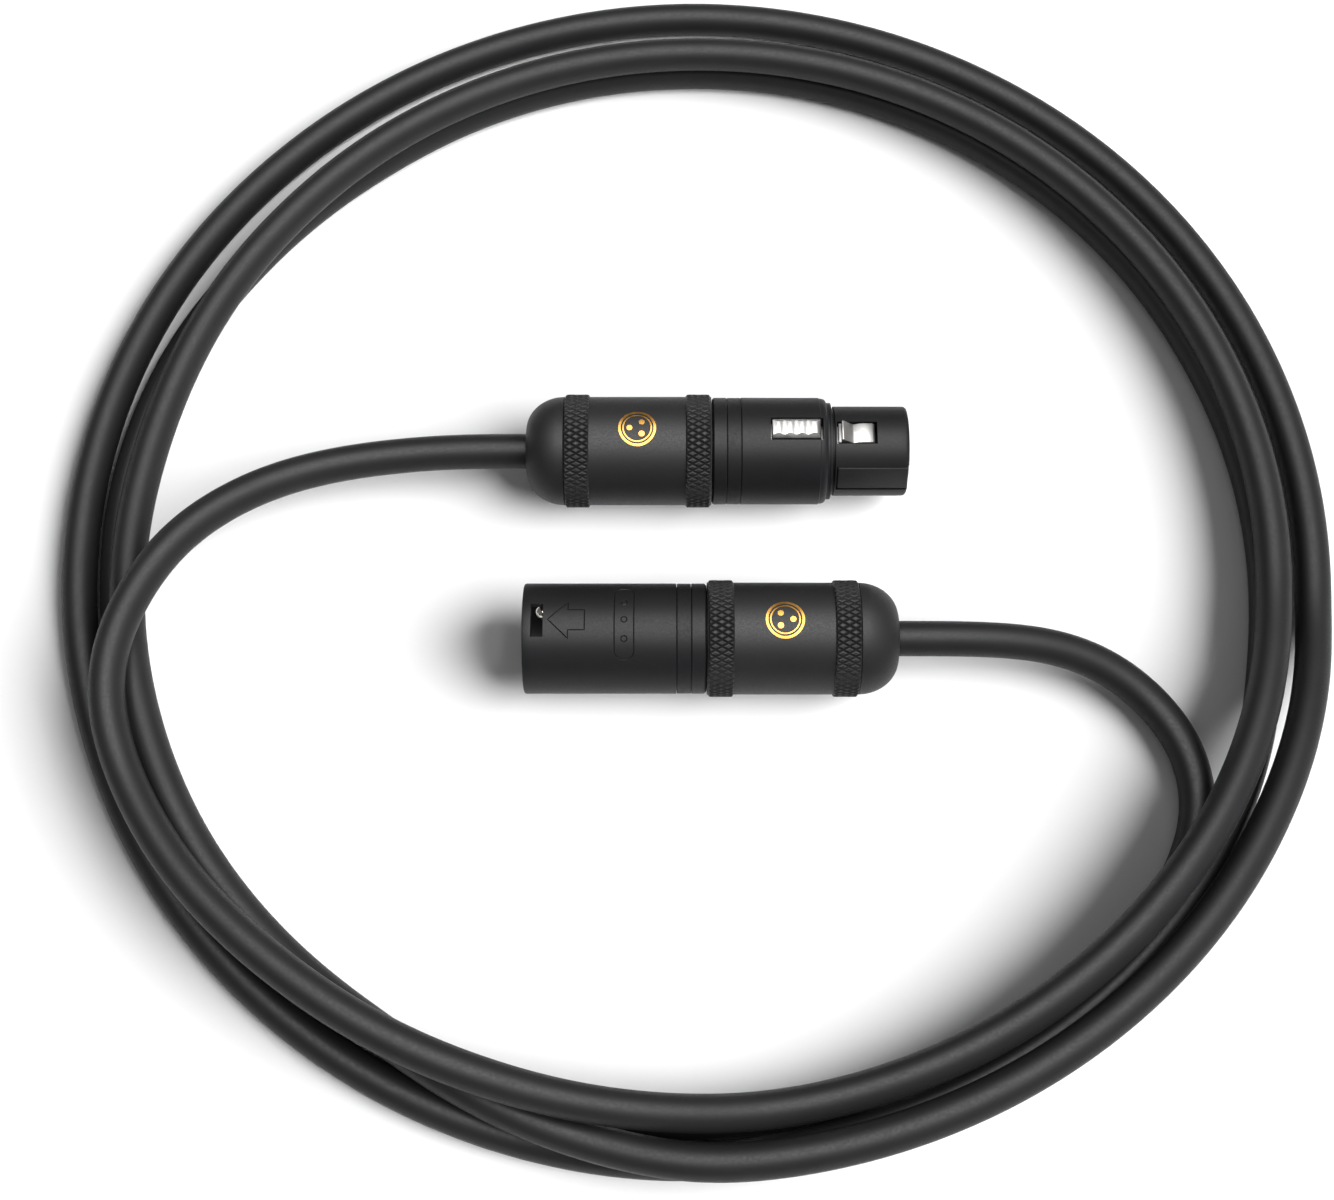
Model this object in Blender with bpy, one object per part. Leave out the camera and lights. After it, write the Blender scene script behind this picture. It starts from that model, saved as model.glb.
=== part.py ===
"""A three-pin balanced audio cable in a round coil, with both of its connectors lying inside.

Everything is modelled in metres with +Z up. The origin is on the table, below the middle of
the two connectors. Each connector is built along its own +X axis, with its zero at the seam
between the metal shell and the screwed-on boot, and an empty then puts it in its place.
"""
import math

import bmesh
import bpy
from mathutils import Matrix, Vector

MM = 0.001
GAP = 0.3 * MM                     # clearance between neighbouring pieces

# Cable and coil
CABLE_RADIUS = 3.1 * MM
COIL_CENTRE = Vector((-3.65, 4.7, 0.0)) * MM
COIL_CLEAR_RADIUS = 90.9 * MM      # where the leads' own points stop, inside the coil
COIL_STRANDS_WIDE = 3.3            # strands side by side across the band
COIL_LAYERS = 2

# Contacts: three on a circle, two of them on the latch's side
CONTACT_CIRCLE = 4.6 * MM
CONTACT_ANGLES = (25.0, 155.0, 270.0)
PIN_RADIUS = 1.18 * MM
SOCKET_WALL = 0.25 * MM
SOCKET_SLIP = 0.07 * MM            # a pin's running clearance in its socket
SOCKET_DEPTH = 12.7 * MM
CUP_RADIUS = 1.1 * MM              # solder cups
CUP_BORE = 0.6 * MM
CUP_DEPTH = 1.5 * MM
TAIL_LENGTH = 1.3 * MM             # solder cup standing out of the insert

# Female nose, and the male cup that goes over it
INSERT_WALL = 0.3 * MM             # of the insert outside its contact holes
NOSE_WALL = 0.95 * MM
NOSE_LENGTH = 13.0 * MM
CUP_CLEARANCE = 0.3 * MM           # between a female nose and the male cup
CUP_WALL = 1.25 * MM
CUP_SPARE_DEPTH = 0.9 * MM         # of the cup beyond a seated nose
KEY_ANGLE = 65.0                   # from the top, round to the female connector's right
KEYWAY_WIDTH = 5.2 * MM
KEYWAY_DEPTH = 0.5 * MM
KEY_WIDTH = 4.0 * MM

# Shells, the same behind the cup and the nose
THREADED_WALL = 1.5 * MM
CODE_GROOVE_START = 2.5 * MM
CODE_GROOVE_DEPTH = 0.6 * MM
CODE_RING_WIDTH = 2.0 * MM
CODE_RING_WALL = 0.35 * MM
EDGE = 0.3 * MM                    # chamfer of metal and plastic edges
FEMALE_BODY_LENGTH = 20.2 * MM
FEMALE_NECK_LENGTH = 0.8 * MM
FEMALE_NECK_PROUD = 0.65 * MM      # of the nose
FEMALE_GROOVE_LENGTH = 0.5 * MM
FEMALE_GROOVE_DEPTH = 0.4 * MM
SHOULDER = 1.2 * MM                # from the female insert's seat to the body's front
MALE_INSERT_LENGTH = 4.5 * MM
MALE_RIB_LENGTH = 1.0 * MM         # inner rib that the male insert sits on
MALE_RIB_HEIGHT = 0.6 * MM
PIN_SETBACK = 2.7 * MM             # of the pin tips behind the mouth
WINDOW_SETBACK = 1.5 * MM
WINDOW_LENGTH = 2.1 * MM
WINDOW_WIDTH = 5.9 * MM

# Boot, the same for both ends
BAND_WIDTH = 4.4 * MM
BAND_PROUD = 0.6 * MM              # of the shell
WAIST_LENGTH = 17.0 * MM
WAIST_PROUD = 0.15 * MM
DOME_LENGTH = 6.6 * MM
DOME_LIP = 0.5 * MM
THREAD_LENGTH = 6.0 * MM
BUSHING_TAIL = 3.0 * MM
BUSHING_STEP = 2.0 * MM
BUSHING_WALL = 1.6 * MM
CHUCK_LENGTH = 19.5 * MM
CHUCK_FLANGE = 1.1 * MM
CHUCK_TAPER = 2.0 * MM
CHUCK_TAPER_DEPTH = 1.0 * MM
CHUCK_SLOT = 1.0 * MM
CHUCK_SLOT_LENGTH = 10.0 * MM
CHUCK_SLOT_TURN = math.radians(7.0)
JACKET_PAST_THREAD = 1.0 * MM
CORE_RADIUS = 0.7 * MM
CORE_LENGTH = 3.1 * MM             # along the axis, from the jacket to the solder cups
CORE_OFFSET = 1.4 * MM             # of the cores in the cable

# Latch lever of the female connector
CHANNEL_WALL = 0.27 * MM           # insert left between the lever's channel and a contact hole
PIVOT_DROP = 0.8 * MM              # below the nose's bore
PIVOT_RADIUS = 0.45 * MM
PIVOT_SEAT = 0.7 * MM              # depth of the pin's ends in the shell's wall
EYE_RADIUS = 1.25 * MM
EYE_CLEARANCE = 0.35 * MM          # behind the eye, to the chuck
BUTTON_AHEAD = 1.4 * MM            # of the pivot
BUTTON_SETBACK = 1.3 * MM          # behind the body's front
BUTTON_PROUD = 0.6 * MM
BUTTON_SLOPE = (1.6 * MM, 1.4 * MM)
TONGUE_START = 0.6 * MM            # from the start of the nose
TONGUE_LENGTH = 6.3 * MM
TONGUE_SUNK = 0.3 * MM
CATCH_START = 0.5 * MM             # from the start of the tongue
CATCH_LENGTH = 2.2 * MM
CATCH_PROUD = 0.8 * MM
LATCH_TRAVEL = math.radians(3.5)
SPRING_AHEAD = 6.0 * MM            # of the pivot
SPRING_WIRE = 0.2 * MM
SPRING_RADIUS = 1.1 * MM
SPRING_TURNS = 4
SPRING_POCKET_DEPTH = 2.5 * MM

ROUND = 32                         # sides of the large turned pieces
ROUND_SMALL = 14

# What follows from the sizes above: radii, from the contacts outwards
CONTACT_HOLE = PIN_RADIUS + SOCKET_SLIP + SOCKET_WALL + GAP
CONTACT_SIDE = CONTACT_CIRCLE * math.cos(math.radians(CONTACT_ANGLES[0]))
LATCH_WIDTH = 2.0 * (CONTACT_SIDE - CONTACT_HOLE - CHANNEL_WALL - GAP)
NOSE_BORE = CONTACT_CIRCLE + CONTACT_HOLE + INSERT_WALL + GAP
NOSE_RADIUS = NOSE_BORE + NOSE_WALL
CUP_WALL_RADIUS = NOSE_RADIUS + CUP_CLEARANCE
SHELL_RADIUS = CUP_WALL_RADIUS + CUP_WALL
SHELL_BORE = SHELL_RADIUS - THREADED_WALL
BUSHING_RADIUS = SHELL_BORE - GAP
BORE_FOR_CABLE = CABLE_RADIUS + GAP
BAND_RADIUS = SHELL_RADIUS + BAND_PROUD
WAIST_RADIUS = SHELL_RADIUS + WAIST_PROUD
COIL_INNER_RADIUS = COIL_CLEAR_RADIUS + CABLE_RADIUS + GAP

# Lengths along a connector, from the seam between shell and boot
BOOT_FRONT = -GAP
SLEEVE_END = BOOT_FRONT - 2.0 * BAND_WIDTH - WAIST_LENGTH
DOME_FRONT = SLEEVE_END - GAP
BOOT_END = DOME_FRONT - DOME_LENGTH
CABLE_END_REAR = BOOT_END - GAP
JACKET_FRONT = THREAD_LENGTH + JACKET_PAST_THREAD
SOLDER_CUP_REAR = JACKET_FRONT + CORE_LENGTH + 2.0 * GAP
CHAMBER_END = SOLDER_CUP_REAR + TAIL_LENGTH
CHUCK_FRONT = THREAD_LENGTH + GAP + CHUCK_FLANGE
NOSE_START = FEMALE_BODY_LENGTH + FEMALE_NECK_LENGTH + FEMALE_GROOVE_LENGTH
FEMALE_FRONT = NOSE_START + NOSE_LENGTH
INSERT_SEAT = FEMALE_BODY_LENGTH - SHOULDER
MALE_INSERT_FACE = CHAMBER_END + GAP + MALE_INSERT_LENGTH
MALE_LENGTH = MALE_INSERT_FACE + FEMALE_GROOVE_LENGTH + NOSE_LENGTH + CUP_SPARE_DEPTH

# The lever's own places
PIVOT_X = CHUCK_FRONT + EYE_CLEARANCE + EYE_RADIUS
PIVOT_Z = NOSE_BORE - PIVOT_DROP
LEVER_UNDER = PIVOT_Z - EYE_RADIUS
BUTTON_START = PIVOT_X + BUTTON_AHEAD
BUTTON_END = FEMALE_BODY_LENGTH - BUTTON_SETBACK
LEVER_TONGUE = NOSE_START + TONGUE_START
LEVER_TIP = LEVER_TONGUE + TONGUE_LENGTH
CHANNEL_FLOOR = LEVER_UNDER - (LEVER_TIP - PIVOT_X) * math.sin(LATCH_TRAVEL) - 2.0 * GAP
SPRING_X = PIVOT_X + SPRING_AHEAD
PIVOT_HALF_LENGTH = math.sqrt(SHELL_BORE ** 2 - PIVOT_Z ** 2) + PIVOT_SEAT

# Places of the female nose's tip and the male mouth; both connectors lie on their bands
FEMALE_TIP = Vector((33.75 * MM, 17.8 * MM, BAND_RADIUS))
MALE_MOUTH = Vector((-33.25 * MM, -17.8 * MM, BAND_RADIUS))

# The two free leads, from the boots to the coil: points chosen along each route, in mm
FEMALE_ROUTE = (
    (-46.0, 17.8, 10.1),
    (-56.4, 17.0, 10.1),
    (-65.5, 15.6, 10.5),
    (-74.5, 13.0, 11.6),
    (-83.5, 8.4, 13.2),
    (-91.0, 2.4, 14.5),
    (-94.1, -1.0, 15.0),
)
MALE_ROUTE = (
    (44.0, -17.8, 10.1),
    (55.0, -17.9, 8.9),
    (63.3, -19.2, 7.2),
    (69.5, -22.1, 5.6),
    (74.6, -25.8, 4.3),
    (78.4, -30.2, 3.5),
    (79.4, -31.8, 3.3),
)
ROUTE_STEP = 2.0                   # cable diameters between the points of a lead


def plain_material(name, colour, roughness, metallic=0.0):
    material = bpy.data.materials.new(name)
    material.use_nodes = True
    shader = material.node_tree.nodes["Principled BSDF"]
    shader.inputs["Base Color"].default_value = (*colour, 1.0)
    shader.inputs["Roughness"].default_value = roughness
    shader.inputs["Metallic"].default_value = metallic
    return material


def empty_at(name, place, turn=0.0):
    frame = bpy.data.objects.new(name, None)
    frame.location = place
    frame.rotation_euler.z = turn
    bpy.context.collection.objects.link(frame)
    return frame


def finish_object(name, bm, material=None, parent=None, origin=(0.0, 0.0, 0.0)):
    """Turn a bmesh into a named object with its own material and its origin at a local point."""
    origin = Vector(origin)
    bmesh.ops.translate(bm, verts=bm.verts, vec=-origin)
    bmesh.ops.recalc_face_normals(bm, faces=bm.faces)
    mesh = bpy.data.meshes.new(name)
    bm.to_mesh(mesh)
    bm.free()
    piece = bpy.data.objects.new(name, mesh)
    piece.parent = parent
    piece.location = origin
    bpy.context.collection.objects.link(piece)
    if material:
        mesh.materials.append(plain_material(name + "_finish", *material))
        mesh.shade_smooth()
        mesh.set_sharp_from_angle(angle=math.radians(35.0))
    else:
        piece.hide_render = True
        piece.display_type = "WIRE"
    return piece


def turned(outline, sides=ROUND, offset=(0.0, 0.0), closed=True):
    """Spin an outline of (along, radius) points about the X axis, moved by (y, z)."""
    bm = bmesh.new()
    verts = [bm.verts.new((along, 0.0, radius)) for along, radius in outline]
    pairs = list(zip(verts, verts[1:]))
    if closed:
        pairs.append((verts[-1], verts[0]))
    edges = [bm.edges.new(pair) for pair in pairs]
    bmesh.ops.spin(
        bm, geom=verts + edges, cent=(0.0, 0.0, 0.0), axis=(1.0, 0.0, 0.0),
        angle=math.tau, steps=sides, use_merge=True)
    bmesh.ops.remove_doubles(bm, verts=bm.verts, dist=0.001 * MM)
    bmesh.ops.translate(bm, verts=bm.verts, vec=(0.0, *offset))
    return bm


def join(parts):
    """Put several separate bmesh bodies into one."""
    whole = bmesh.new()
    for part in parts:
        mesh = bpy.data.meshes.new("joined")
        part.to_mesh(mesh)
        part.free()
        whole.from_mesh(mesh)
        bpy.data.meshes.remove(mesh)
    return whole


def block(low, high, turn=0.0):
    """A box between two corners, turned about the X axis."""
    low = Vector(low)
    high = Vector(high)
    bm = bmesh.new()
    size = Matrix.Diagonal((*(high - low), 1.0))
    place = Matrix.Translation((low + high) / 2.0)
    bmesh.ops.create_cube(bm, size=1.0, matrix=Matrix.Rotation(turn, 4, "X") @ place @ size)
    return bm


def rod(start, end, radius, sides=ROUND_SMALL):
    """A plain round bar between two points."""
    start = Vector(start)
    end = Vector(end)
    run = end - start
    bm = bmesh.new()
    place = Matrix.Translation((start + end) / 2.0) @ run.to_track_quat("Z", "Y").to_matrix().to_4x4()
    bmesh.ops.create_cone(
        bm, cap_ends=True, segments=sides, radius1=radius, radius2=radius,
        depth=run.length, matrix=place)
    return bm


def plate(outline, width):
    """Extrude an outline of (x, z) points evenly to both sides of the XZ plane."""
    bm = bmesh.new()
    face = bm.faces.new([bm.verts.new((x, -width / 2.0, z)) for x, z in outline])
    grown = bmesh.ops.extrude_face_region(bm, geom=[face])
    moved = [item for item in grown["geom"] if isinstance(item, bmesh.types.BMVert)]
    bmesh.ops.translate(bm, verts=moved, vec=(0.0, width, 0.0))
    return bm


def boolean(target, tool, operation="DIFFERENCE"):
    modifier = target.modifiers.new(tool.name, "BOOLEAN")
    modifier.operation = operation
    modifier.solver = "EXACT"
    modifier.object = tool


def arc(centre, radius, start, end, steps):
    """Points of a circular arc in degrees, from the first axis towards the second."""
    points = []
    for step in range(steps + 1):
        angle = math.radians(start + (end - start) * step / steps)
        points.append((centre[0] + radius * math.cos(angle), centre[1] + radius * math.sin(angle)))
    return points


def contact_places():
    """The (y, z) places of the three contacts: the first two are beside the latch."""
    places = []
    for angle in CONTACT_ANGLES:
        turn = math.radians(angle)
        places.append((CONTACT_CIRCLE * math.cos(turn), CONTACT_CIRCLE * math.sin(turn)))
    return places


def smooth_route(points):
    """Even points on a Catmull-Rom curve through a route's own points, in metres."""
    knots = [Vector(point) * MM for point in points]
    ends = [2.0 * knots[0] - knots[1]] + knots + [2.0 * knots[-1] - knots[-2]]
    fine = []
    steps = 24
    for index in range(len(knots) - 1):
        before, start, end, after = ends[index:index + 4]
        for step in range(steps):
            t = step / steps
            fine.append(0.5 * (
                2.0 * start + (end - before) * t
                + (2.0 * before - 5.0 * start + 4.0 * end - after) * t ** 2
                + (3.0 * start - before - 3.0 * end + after) * t ** 3))
    fine.append(knots[-1])
    length = sum((b - a).length for a, b in zip(fine, fine[1:]))
    count = max(2, round(length / (ROUTE_STEP * 2.0 * CABLE_RADIUS)))
    wanted = [length * step / count for step in range(count + 1)]
    even = [fine[0]]
    walked = 0.0
    for a, b in zip(fine, fine[1:]):
        step = (b - a).length
        while len(even) < count and walked + step >= wanted[len(even)]:
            even.append(a.lerp(b, (wanted[len(even)] - walked) / step))
        walked += step
    even.append(fine[-1])
    return even


def tube(name, points, radius, material, parent=None, resolution=2):
    """A round wire or cable as a curve with a bevel and filled ends."""
    data = bpy.data.curves.new(name, "CURVE")
    data.dimensions = "3D"
    data.bevel_depth = radius
    data.bevel_resolution = resolution
    data.use_fill_caps = True
    spline = data.splines.new("POLY")
    spline.points.add(len(points) - 1)
    for spot, point in zip(spline.points, points):
        spot.co = (*point, 1.0)
    piece = bpy.data.objects.new(name, data)
    piece.parent = parent
    bpy.context.collection.objects.link(piece)
    data.materials.append(plain_material(name + "_finish", *material))
    return piece


# Finishes: linear colour, roughness, metallic
BLACK_METAL = ((0.022, 0.022, 0.023), 0.42, 0.2)
BLACK_PLASTIC = ((0.016, 0.016, 0.017), 0.55)
BOOT_RUBBER = ((0.028, 0.028, 0.029), 0.6)
CABLE_JACKET = ((0.045, 0.045, 0.047), 0.6)
NICKEL = ((0.55, 0.54, 0.5), 0.3, 1.0)
SILVER = ((0.72, 0.71, 0.68), 0.25, 1.0)
SPRING_STEEL = ((0.4, 0.4, 0.4), 0.35, 1.0)
COPPER = ((0.7, 0.33, 0.2), 0.4, 1.0)
CORE_RED = ((0.45, 0.03, 0.03), 0.5)
CORE_WHITE = ((0.75, 0.75, 0.72), 0.5)
GREY_PLASTIC = ((0.12, 0.12, 0.125), 0.5)


def shell_start():
    """Outer outline of either shell, from the seam past the groove for the coding ring."""
    groove_end = CODE_GROOVE_START + CODE_RING_WIDTH + 2.0 * GAP
    return [
        (0.0, SHELL_RADIUS - EDGE),
        (EDGE, SHELL_RADIUS),
        (CODE_GROOVE_START, SHELL_RADIUS),
        (CODE_GROOVE_START, SHELL_RADIUS - CODE_GROOVE_DEPTH),
        (groove_end, SHELL_RADIUS - CODE_GROOVE_DEPTH),
        (groove_end, SHELL_RADIUS),
    ]


def code_ring(end, frame):
    start = CODE_GROOVE_START + GAP
    inner = SHELL_RADIUS - CODE_GROOVE_DEPTH + GAP
    outline = [
        (start, inner),
        (start, inner + CODE_RING_WALL),
        (start + CODE_RING_WIDTH, inner + CODE_RING_WALL),
        (start + CODE_RING_WIDTH, inner),
    ]
    finish_object(end + "_code_ring", turned(outline), BLACK_PLASTIC, frame)


def boot(end, frame):
    """Bushing, sleeve and dome that screw on to the shell, and the chuck that grips the cable."""
    tail_radius = BUSHING_RADIUS - BUSHING_STEP
    chuck_bore = BUSHING_RADIUS - BUSHING_WALL
    chuck_rear = CHUCK_FRONT - CHUCK_LENGTH
    bushing = [
        (THREAD_LENGTH, BUSHING_RADIUS - EDGE),
        (THREAD_LENGTH - EDGE, BUSHING_RADIUS),
        (SLEEVE_END, BUSHING_RADIUS),
        (SLEEVE_END, tail_radius),
        (SLEEVE_END - BUSHING_TAIL, tail_radius),
        (SLEEVE_END - BUSHING_TAIL, BORE_FOR_CABLE),
        (chuck_rear - GAP, BORE_FOR_CABLE),
        (chuck_rear - GAP, chuck_bore),
        (THREAD_LENGTH, chuck_bore),
    ]
    finish_object(end + "_bushing", turned(bushing), BLACK_PLASTIC, frame)

    waist_front = BOOT_FRONT - BAND_WIDTH
    waist_rear = waist_front - WAIST_LENGTH
    sleeve = [
        (BOOT_FRONT, BAND_RADIUS - EDGE),
        (BOOT_FRONT - EDGE, BAND_RADIUS),
        (waist_front, BAND_RADIUS),
        (waist_front, WAIST_RADIUS),
        (waist_rear, WAIST_RADIUS),
        (waist_rear, BAND_RADIUS),
        (SLEEVE_END + EDGE, BAND_RADIUS),
        (SLEEVE_END, BAND_RADIUS - EDGE),
        (SLEEVE_END, BUSHING_RADIUS + GAP),
        (BOOT_FRONT, BUSHING_RADIUS + GAP),
    ]
    finish_object(end + "_boot_sleeve", turned(sleeve), BOOT_RUBBER, frame)

    dome_base = BORE_FOR_CABLE + DOME_LIP
    dome_rise = WAIST_RADIUS - dome_base
    curve = [(DOME_FRONT - DOME_LENGTH * math.sin(t), dome_base + dome_rise * math.cos(t))
             for t in (math.pi / 2.0 * step / 7.0 for step in range(8))]
    socket_end = SLEEVE_END - BUSHING_TAIL - GAP
    dome = curve + [
        (BOOT_END, BORE_FOR_CABLE),
        (socket_end, BORE_FOR_CABLE),
        (socket_end, tail_radius + GAP),
        (DOME_FRONT, tail_radius + GAP),
    ]
    finish_object(end + "_boot_dome", turned(dome), BOOT_RUBBER, frame)

    chuck_radius = chuck_bore - GAP
    flange_radius = BUSHING_RADIUS - GAP
    chuck = [
        (CHUCK_FRONT, BORE_FOR_CABLE),
        (CHUCK_FRONT, flange_radius),
        (CHUCK_FRONT - CHUCK_FLANGE, flange_radius),
        (CHUCK_FRONT - CHUCK_FLANGE, chuck_radius),
        (chuck_rear + CHUCK_TAPER, chuck_radius),
        (chuck_rear, chuck_radius - CHUCK_TAPER_DEPTH),
        (chuck_rear, BORE_FOR_CABLE),
    ]
    piece = finish_object(end + "_chuck", turned(chuck, 24), GREY_PLASTIC, frame)
    half = CHUCK_SLOT / 2.0
    reach = BUSHING_RADIUS
    slots = join([
        block((chuck_rear - GAP, -half, -reach), (chuck_rear + CHUCK_SLOT_LENGTH, half, reach), turn)
        for turn in (CHUCK_SLOT_TURN, CHUCK_SLOT_TURN + math.pi / 2.0)])
    boolean(piece, finish_object(end + "_chuck_slots", slots, parent=frame))


def wiring(end, frame):
    """The cable's end inside the connector: jacket, two cores and the screen's drain wire."""
    jacket = rod((CABLE_END_REAR, 0.0, 0.0), (JACKET_FRONT, 0.0, 0.0), CABLE_RADIUS, 16)
    finish_object(end + "_cable_end", jacket, CABLE_JACKET, frame)
    wires = (
        ("_shield_drain", COPPER, 0, 25.0),
        ("_core_hot", CORE_RED, 1, 155.0),
        ("_core_cold", CORE_WHITE, 2, 270.0),
    )
    start = JACKET_FRONT + GAP
    stop = SOLDER_CUP_REAR - GAP
    for suffix, finish, index, side in wires:
        far_y, far_z = contact_places()[index]
        near_y = CORE_OFFSET * math.cos(math.radians(side))
        near_z = CORE_OFFSET * math.sin(math.radians(side))
        points = []
        for step in range(7):
            t = step / 6.0
            ease = t * t * (3.0 - 2.0 * t)
            points.append((
                start + (stop - start) * t,
                near_y * (1.0 - ease) + far_y * ease,
                near_z * (1.0 - ease) + far_z * ease))
        tube(end + suffix, points, CORE_RADIUS, finish, frame, 1)


def female_shell(frame):
    neck_end = FEMALE_BODY_LENGTH + FEMALE_NECK_LENGTH
    outline = shell_start() + [
        (FEMALE_BODY_LENGTH - 2.0 * EDGE, SHELL_RADIUS),
        (FEMALE_BODY_LENGTH, SHELL_RADIUS - 1.5 * EDGE),
        (FEMALE_BODY_LENGTH, NOSE_RADIUS + FEMALE_NECK_PROUD),
        (neck_end, NOSE_RADIUS + FEMALE_NECK_PROUD),
        (neck_end, NOSE_RADIUS - FEMALE_GROOVE_DEPTH),
        (NOSE_START, NOSE_RADIUS - FEMALE_GROOVE_DEPTH),
        (NOSE_START, NOSE_RADIUS),
        (FEMALE_FRONT - EDGE, NOSE_RADIUS),
        (FEMALE_FRONT, NOSE_RADIUS - EDGE),
        (FEMALE_FRONT, NOSE_BORE),
        (INSERT_SEAT, NOSE_BORE),
        (INSERT_SEAT, SHELL_BORE),
        (0.0, SHELL_BORE),
    ]
    shell = finish_object("female_shell", turned(outline), BLACK_METAL, frame)
    half = LATCH_WIDTH / 2.0 + GAP
    above = 2.0 * SHELL_RADIUS
    button_slot = block(
        (BUTTON_START - GAP, -half, PIVOT_Z),
        (BUTTON_END + 1.5 * GAP, half, above))
    tongue_slot = block(
        (LEVER_TONGUE - GAP, -half, LEVER_UNDER + GAP),
        (LEVER_TIP + 1.5 * GAP, half, above))
    boolean(shell, finish_object("female_latch_slots", join([button_slot, tongue_slot]), parent=frame))
    reach = PIVOT_HALF_LENGTH + GAP
    pin_holes = rod((PIVOT_X, -reach, PIVOT_Z), (PIVOT_X, reach, PIVOT_Z), PIVOT_RADIUS + GAP)
    boolean(shell, finish_object("female_pin_holes", pin_holes, parent=frame))
    keyway = block(
        (NOSE_START + EDGE, -KEYWAY_WIDTH / 2.0, NOSE_RADIUS - KEYWAY_DEPTH),
        (FEMALE_FRONT + EDGE, KEYWAY_WIDTH / 2.0, SHELL_RADIUS),
        math.radians(KEY_ANGLE))
    boolean(shell, finish_object("female_keyway", keyway, parent=frame))


def female_insert(frame):
    face = FEMALE_FRONT - 2.0 * GAP
    outline = [
        (CHAMBER_END, 0.0),
        (CHAMBER_END, SHELL_BORE - GAP),
        (INSERT_SEAT - GAP, SHELL_BORE - GAP),
        (INSERT_SEAT - GAP, NOSE_BORE - GAP),
        (face, NOSE_BORE - GAP),
        (face, 0.0),
    ]
    insert = finish_object("female_insert", turned(outline, closed=False), BLACK_PLASTIC, frame)
    mouth = PIN_RADIUS + 0.6 * GAP
    holes = join([
        turned([
            (CHAMBER_END - GAP, 0.0),
            (CHAMBER_END - GAP, CONTACT_HOLE),
            (face - 3.0 * GAP, CONTACT_HOLE),
            (face - 3.0 * GAP, mouth),
            (face + GAP, mouth),
            (face + GAP, 0.0),
        ], ROUND_SMALL, place, False)
        for place in contact_places()])
    boolean(insert, finish_object("female_contact_holes", holes, parent=frame))
    half = LATCH_WIDTH / 2.0 + GAP
    channel = block(
        (CHAMBER_END - GAP, -half, CHANNEL_FLOOR),
        (LEVER_TIP + 2.5 * GAP, half, SHELL_RADIUS))
    boolean(insert, finish_object("female_latch_channel", channel, parent=frame))
    pocket = rod(
        (SPRING_X, 0.0, CHANNEL_FLOOR - SPRING_POCKET_DEPTH),
        (SPRING_X, 0.0, CHANNEL_FLOOR + GAP), SPRING_RADIUS + SPRING_WIRE + GAP)
    boolean(insert, finish_object("female_spring_pocket", pocket, parent=frame))


def female_contacts(frame):
    bore = PIN_RADIUS + SOCKET_SLIP
    front = FEMALE_FRONT - 6.0 * GAP
    outline = [
        (SOLDER_CUP_REAR + CUP_DEPTH, 0.0),
        (SOLDER_CUP_REAR + CUP_DEPTH, CUP_BORE),
        (SOLDER_CUP_REAR, CUP_BORE),
        (SOLDER_CUP_REAR, CUP_RADIUS),
        (CHAMBER_END + 4.0 * GAP, CUP_RADIUS),
        (CHAMBER_END + 4.0 * GAP, bore + SOCKET_WALL),
        (front, bore + SOCKET_WALL),
        (front, bore),
        (front - SOCKET_DEPTH, bore),
        (front - SOCKET_DEPTH, 0.0),
    ]
    for number, place in enumerate(contact_places(), 1):
        contact = turned(outline, ROUND_SMALL, place, False)
        finish_object(f"female_contact_{number}", contact, SILVER, frame)


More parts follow.
